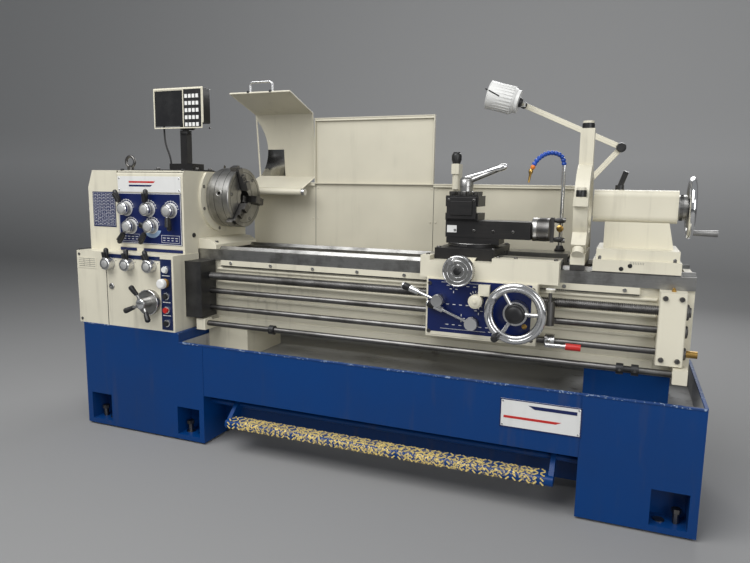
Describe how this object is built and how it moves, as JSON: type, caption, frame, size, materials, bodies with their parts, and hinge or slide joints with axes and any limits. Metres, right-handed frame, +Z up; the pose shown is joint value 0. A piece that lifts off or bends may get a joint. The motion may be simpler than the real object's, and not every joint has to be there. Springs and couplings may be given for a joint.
{
  "type": "metal lathe",
  "caption": "Centre lathe on a steel base, with chuck, gear levers, sliding carriage, toolpost, steady rest, tailstock, splash guard, work lamp and digital readout.",
  "frame": {"origin": "on the floor in the middle of the floor bolts", "axes": "+X along the bed from headstock to tailstock, +Y away from the operator, +Z up"},
  "size_m": [2.439, 0.7188, 1.491],
  "materials": {
    "black_oxide": "blackened, satin",
    "black_plastic": "moulded",
    "blue_paint": "satin enamel, worn at the rims",
    "chrome": "polished",
    "cream_paint": "satin enamel",
    "dark_sheath": "matt",
    "drive_iron": "as cast",
    "ground_steel": "ground and oiled",
    "hose_blue": "moulded segments",
    "lamp_enamel": "painted white",
    "red_plastic": "moulded",
    "turned_steel": "fine turned",
    "white_plastic": "moulded"
  },
  "bodies": {
    "frame": {"left_pedestal": "blue_paint", "right_pedestal": "blue_paint", "chip_tray": "blue_paint", "levelling_feet": "drive_iron", "bed": "cream_paint", "headstock_casting": "cream_paint", "gearbox_casting": "cream_paint", "main_drive": "drive_iron", "spindle_bearings": "turned_steel", "rod_end_bracket": "cream_paint", "stop_rod": "ground_steel", "splash_guard": "cream_paint", "dro_post": "cream_paint", "dro_cable": "dark_sheath"},
    "spindle": {"spindle": "turned_steel", "chuck_body": "turned_steel"},
    "jaw_1": {"chuck_jaw_1": "turned_steel"},
    "jaw_2": {"chuck_jaw_2": "turned_steel"},
    "jaw_3": {"chuck_jaw_3": "turned_steel"},
    "chuck_guard": {"chuck_guard": "cream_paint"},
    "end_cover": {"end_cover": "cream_paint"},
    "treadle": {"brake_treadle": "blue_paint"},
    "speed_lever_1": {"speed_lever_1": "chrome"},
    "speed_lever_2": {"speed_lever_2": "chrome"},
    "speed_lever_3": {"speed_lever_3": "chrome"},
    "speed_lever_4": {"speed_lever_4": "chrome"},
    "speed_lever_5": {"speed_lever_5": "chrome"},
    "feed_lever_1": {"feed_lever_1": "chrome"},
    "feed_lever_2": {"feed_lever_2": "chrome"},
    "feed_lever_3": {"feed_lever_3": "chrome"},
    "star_handle": {"feed_star_handle": "chrome"},
    "stop_button": {"emergency_stop": "white_plastic"},
    "leadscrew": {"leadscrew": "ground_steel"},
    "feed_rod": {"feed_rod": "ground_steel"},
    "control_rod": {"control_rod": "ground_steel"},
    "carriage": {"saddle": "cream_paint", "apron": "cream_paint", "follow_rest": "cream_paint", "coolant_hose": "hose_blue"},
    "apron_handwheel": {"apron_handwheel": "chrome"},
    "cross_handwheel": {"cross_handwheel": "turned_steel"},
    "half_nut_lever": {"half_nut_lever": "chrome"},
    "power_feed_lever": {"power_feed_lever": "chrome"},
    "control_lever": {"control_lever": "chrome"},
    "cross_slide": {"cross_slide": "black_oxide"},
    "compound_base": {"compound_base": "black_oxide"},
    "compound_slide": {"compound_slide": "black_oxide"},
    "compound_crank": {"compound_crank": "chrome"},
    "toolpost": {"toolpost": "black_oxide"},
    "toolpost_lever": {"toolpost_lever": "chrome"},
    "steady": {"steady_base": "cream_paint"},
    "steady_top": {"steady_top": "cream_paint"},
    "tailstock": {"tailstock_body": "cream_paint"},
    "quill": {"tailstock_quill": "ground_steel"},
    "tail_handwheel": {"tailstock_handwheel": "chrome"},
    "quill_lock": {"quill_lock_lever": "black_plastic"},
    "readout": {"dro_display": "black_plastic"},
    "lamp_lower": {"lamp_lower_arm": "cream_paint"},
    "lamp_upper": {"lamp_upper_arm": "cream_paint"},
    "lamp_head": {"lamp_head": "lamp_enamel"}
  },
  "joints": [
    {"name": "spindle_turn", "type": "hinge", "parent": "frame", "child": "spindle", "pos_m": [-0.72, 0.03, 0.992], "axis": [1, 0, 0], "continuous": true},
    {"name": "jaw_1_slide", "type": "slide", "parent": "spindle", "child": "jaw_1", "axis": [0, -0.3584, 0.9336], "range_m": [-0.028, 0.004]},
    {"name": "jaw_2_slide", "type": "slide", "parent": "spindle", "child": "jaw_2", "axis": [0, 0.9877, -0.1564], "range_m": [-0.028, 0.004]},
    {"name": "jaw_3_slide", "type": "slide", "parent": "spindle", "child": "jaw_3", "axis": [0, -0.6293, -0.7771], "range_m": [-0.028, 0.004]},
    {"name": "chuck_guard_swing", "type": "hinge", "parent": "frame", "child": "chuck_guard", "pos_m": [-0.56, 0.208, 1.02], "axis": [1, 0, 0], "range_deg": [0, 90]},
    {"name": "end_cover_door", "type": "hinge", "parent": "frame", "child": "end_cover", "pos_m": [-1.06, 0.233, 0.8], "axis": [0, 0, 1], "range_deg": [-100, 0]},
    {"name": "brake_treadle", "type": "hinge", "parent": "frame", "child": "treadle", "pos_m": [0, -0.235, 0.172], "axis": [1, 0, 0], "range_deg": [0, 12], "stiffness_Nm_per_rad": 60, "springref_deg": -22.92},
    {"name": "speed_lever_1_turn", "type": "hinge", "parent": "frame", "child": "speed_lever_1", "pos_m": [-1.012, -0.215, 0.942], "axis": [0, -1, 0], "range_deg": [-30, 30]},
    {"name": "speed_lever_2_turn", "type": "hinge", "parent": "frame", "child": "speed_lever_2", "pos_m": [-0.894, -0.215, 0.941], "axis": [0, -1, 0], "range_deg": [-30, 30]},
    {"name": "speed_lever_3_turn", "type": "hinge", "parent": "frame", "child": "speed_lever_3", "pos_m": [-0.782, -0.215, 0.939], "axis": [0, -1, 0], "range_deg": [-30, 30]},
    {"name": "speed_lever_4_turn", "type": "hinge", "parent": "frame", "child": "speed_lever_4", "pos_m": [-0.99, -0.215, 0.868], "axis": [0, -1, 0], "range_deg": [-15, 30]},
    {"name": "speed_lever_5_turn", "type": "hinge", "parent": "frame", "child": "speed_lever_5", "pos_m": [-0.88, -0.215, 0.872], "axis": [0, -1, 0], "range_deg": [-15, 30]},
    {"name": "feed_lever_1_turn", "type": "hinge", "parent": "frame", "child": "feed_lever_1", "pos_m": [-1.038, -0.295, 0.718], "axis": [0, -1, 0], "range_deg": [-30, 30]},
    {"name": "feed_lever_2_turn", "type": "hinge", "parent": "frame", "child": "feed_lever_2", "pos_m": [-0.936, -0.295, 0.718], "axis": [0, -1, 0], "range_deg": [-30, 30]},
    {"name": "feed_lever_3_turn", "type": "hinge", "parent": "frame", "child": "feed_lever_3", "pos_m": [-0.822, -0.295, 0.718], "axis": [0, -1, 0], "range_deg": [-30, 30]},
    {"name": "star_handle_turn", "type": "hinge", "parent": "frame", "child": "star_handle", "pos_m": [-0.832, -0.295, 0.572], "axis": [0, -1, 0], "continuous": true},
    {"name": "stop_button_press", "type": "slide", "parent": "frame", "child": "stop_button", "axis": [0, 1, 0], "range_m": [0, 0.005], "stiffness_N_per_m": 800, "springref_m": -0.004},
    {"name": "leadscrew_turn", "type": "hinge", "parent": "frame", "child": "leadscrew", "pos_m": [0.2, -0.157, 0.675], "axis": [1, 0, 0], "continuous": true},
    {"name": "feed_rod_turn", "type": "hinge", "parent": "frame", "child": "feed_rod", "pos_m": [0.2, -0.157, 0.613], "axis": [1, 0, 0], "continuous": true},
    {"name": "control_rod_turn", "type": "hinge", "parent": "frame", "child": "control_rod", "pos_m": [0.2, -0.157, 0.543], "axis": [1, 0, 0], "range_deg": [-14, 14]},
    {"name": "carriage_travel", "type": "slide", "parent": "frame", "child": "carriage", "axis": [1, 0, 0], "range_m": [-0.66, 0.008]},
    {"name": "apron_handwheel_turn", "type": "hinge", "parent": "carriage", "child": "apron_handwheel", "pos_m": [0.62, -0.235, 0.639], "axis": [0, -1, 0], "range_deg": [-20, 1330]},
    {"name": "cross_handwheel_turn", "type": "hinge", "parent": "carriage", "child": "cross_handwheel", "pos_m": [0.422, -0.235, 0.768], "axis": [0, 1, 0], "range_deg": [-1440, 6480]},
    {"name": "half_nut_lever_turn", "type": "hinge", "parent": "carriage", "child": "half_nut_lever", "pos_m": [0.358, -0.235, 0.665], "axis": [0, -1, 0], "range_deg": [0, 30]},
    {"name": "power_feed_lever_turn", "type": "hinge", "parent": "carriage", "child": "power_feed_lever", "pos_m": [0.47, -0.205, 0.587], "axis": [0, -1, 0], "range_deg": [0, 25]},
    {"name": "control_lever_turn", "type": "hinge", "parent": "carriage", "child": "control_lever", "pos_m": [0.73, -0.157, 0.543], "axis": [1, 0, 0], "range_deg": [-14, 14]},
    {"name": "cross_slide_travel", "type": "slide", "parent": "carriage", "child": "cross_slide", "axis": [0, 1, 0], "range_m": [-0.0201, 0.0901]},
    {"name": "compound_swivel", "type": "hinge", "parent": "cross_slide", "child": "compound_base", "pos_m": [0.418, 0.005, 0.8362], "axis": [0, 0, 1], "range_deg": [-90, 10]},
    {"name": "compound_slide_travel", "type": "slide", "parent": "compound_base", "child": "compound_slide", "axis": [-1, 0, 0], "range_m": [0, 0.0651]},
    {"name": "compound_crank_turn", "type": "hinge", "parent": "compound_slide", "child": "compound_crank", "pos_m": [0.64, 0.005, 0.9048], "axis": [-1, 0, 0], "range_deg": [0, 4680]},
    {"name": "toolpost_turn", "type": "hinge", "parent": "compound_slide", "child": "toolpost", "pos_m": [0.384, 0.005, 0.931], "axis": [0, 0, 1], "continuous": true},
    {"name": "toolpost_lever_turn", "type": "hinge", "parent": "toolpost", "child": "toolpost_lever", "pos_m": [0.384, 0.005, 1.03], "axis": [0, 0, 1], "range_deg": [-80, 40]},
    {"name": "steady_travel", "type": "slide", "parent": "frame", "child": "steady", "axis": [1, 0, 0], "range_m": [-0.008, 0.01]},
    {"name": "steady_top_open", "type": "hinge", "parent": "steady", "child": "steady_top", "pos_m": [0.797, 0.187, 0.992], "axis": [1, 0, 0], "range_deg": [-38, 0]},
    {"name": "tailstock_travel", "type": "slide", "parent": "frame", "child": "tailstock", "axis": [1, 0, 0], "range_m": [-0.008, 0.04]},
    {"name": "tail_handwheel_turn", "type": "hinge", "parent": "tailstock", "child": "tail_handwheel", "pos_m": [1.13, 0.03, 0.992], "axis": [-1, 0, 0], "range_deg": [0, 10800]},
    {"name": "quill_travel", "type": "slide", "parent": "tailstock", "child": "quill", "axis": [-1, 0, 0], "range_m": [0, 0.1501]},
    {"name": "quill_lock_turn", "type": "hinge", "parent": "tailstock", "child": "quill_lock", "pos_m": [0.91, 0.03, 1.048], "axis": [0, 0, 1], "range_deg": [-45, 45]},
    {"name": "readout_tilt", "type": "hinge", "parent": "frame", "child": "readout", "pos_m": [-0.86, -0.01, 1.288], "axis": [1, 0, 0], "range_deg": [-15, 15], "deforming": ["dro_cable"]},
    {"name": "lamp_lower_turn", "type": "hinge", "parent": "frame", "child": "lamp_lower", "pos_m": [0.796, 0.321, 1.084], "axis": [0, -1, 0], "range_deg": [-30, 18]},
    {"name": "lamp_upper_turn", "type": "hinge", "parent": "lamp_lower", "child": "lamp_upper", "pos_m": [0.902, 0.311, 1.208], "axis": [0, 1, 0], "range_deg": [-30, 30]},
    {"name": "lamp_head_turn", "type": "hinge", "parent": "lamp_upper", "child": "lamp_head", "pos_m": [0.53, 0.295, 1.376], "axis": [0, 1, 0], "range_deg": [-60, 60]}
  ],
  "couplings": [
    {"joint": "jaw_2_slide", "follows": "jaw_1_slide", "ratio": 1},
    {"joint": "jaw_3_slide", "follows": "jaw_1_slide", "ratio": 1},
    {"joint": "control_lever_turn", "follows": "control_rod_turn", "ratio": 1},
    {"joint": "apron_handwheel_turn", "follows": "carriage_travel", "rad_per_m": -35},
    {"joint": "cross_slide_travel", "follows": "cross_handwheel_turn", "m_per_rad": 0.00079577},
    {"joint": "compound_slide_travel", "follows": "compound_crank_turn", "m_per_rad": 0.00079577},
    {"joint": "quill_travel", "follows": "tail_handwheel_turn", "m_per_rad": 0.00079577}
  ]
}
